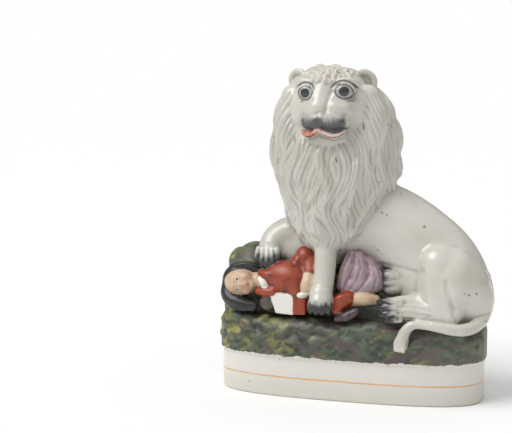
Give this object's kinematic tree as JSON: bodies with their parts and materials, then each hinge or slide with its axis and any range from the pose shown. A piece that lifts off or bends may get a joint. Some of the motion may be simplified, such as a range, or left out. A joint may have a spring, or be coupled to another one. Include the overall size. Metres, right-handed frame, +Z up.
{
  "type": "staffordshire lion",
  "caption": "Glazed earthenware group of a seated lion with a forepaw on a reclining figure, on a grassy mound over an oval plinth.",
  "frame": {"origin": "middle of the plinth's underside", "axes": "+Z up, +X along the plinth towards the lion's rump, -Y towards the decorated front"},
  "size_m": [0.2055, 0.0885, 0.2408],
  "materials": {
    "glazed_earthenware": "glossy glaze over white earthenware, with painted enamels"
  },
  "bodies": {
    "root": {"staffordshire_lion": "glazed_earthenware"}
  },
  "joints": []
}
